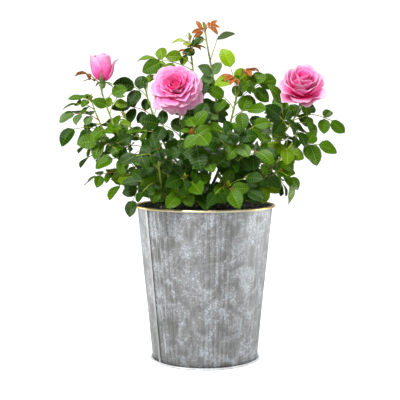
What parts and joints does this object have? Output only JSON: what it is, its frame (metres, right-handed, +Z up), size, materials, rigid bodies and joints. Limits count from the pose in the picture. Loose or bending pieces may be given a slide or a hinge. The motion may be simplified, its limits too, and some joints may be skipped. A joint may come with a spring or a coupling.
{
  "type": "rose bush",
  "caption": "Potted rose bush with open pink blooms and a bud over pinnate green leaves, in a tapered ribbed metal planter.",
  "frame": {"origin": "centre of the pot's flat underside", "axes": "+Z up, the plant's front faces -Y, +X to the right seen from the front"},
  "size_m": [0.4081, 0.3168, 0.4902],
  "materials": {
    "zinc": "weathered zinc, satin",
    "gilt_rim": "pale gilt, satin",
    "soil": "matte, crumbly",
    "cane_bark": "green to brown bark, satin",
    "foliage": "leathery, slightly glossy",
    "petals": "velvety, matte"
  },
  "bodies": {
    "root": {"pot_wall": "zinc", "pot_bottom": "zinc", "pot_foot": "zinc", "pot_seam": "zinc", "pot_rim": "gilt_rim", "soil": "soil", "rootstock": "cane_bark", "cane_bud": "cane_bark", "cane_far_left": "cane_bark", "cane_left": "cane_bark", "cane_low_left": "cane_bark", "cane_upper_left": "cane_bark", "cane_centre": "cane_bark", "cane_top_left": "cane_bark", "cane_top": "cane_bark", "cane_upper_right": "cane_bark", "cane_right": "cane_bark", "cane_far_right": "cane_bark", "cane_low_right": "cane_bark", "cane_front": "cane_bark", "cane_front_right": "cane_bark", "cane_low_front": "cane_bark", "cane_front_left": "cane_bark", "cane_low_front_right": "cane_bark", "cane_back_left": "cane_bark", "cane_back": "cane_bark", "cane_back_right": "cane_bark", "cane_low_back_left": "cane_bark", "cane_low_back_right": "cane_bark", "leaves_bud": "foliage", "leaves_far_left": "foliage", "leaves_left": "foliage", "leaves_low_left": "foliage", "leaves_upper_left": "foliage", "leaves_centre": "foliage", "leaves_top_left": "foliage", "leaves_top": "foliage", "leaves_upper_right": "foliage", "leaves_right": "foliage", "leaves_far_right": "foliage", "leaves_low_right": "foliage", "leaves_front": "foliage", "leaves_front_right": "foliage", "leaves_low_front": "foliage", "leaves_front_left": "foliage", "leaves_low_front_right": "foliage", "leaves_back_left": "foliage", "leaves_back": "foliage", "leaves_back_right": "foliage", "leaves_low_back_left": "foliage", "leaves_low_back_right": "foliage", "bloom_centre": "petals", "bloom_right": "petals", "bud_left": "petals"}
  },
  "joints": []
}
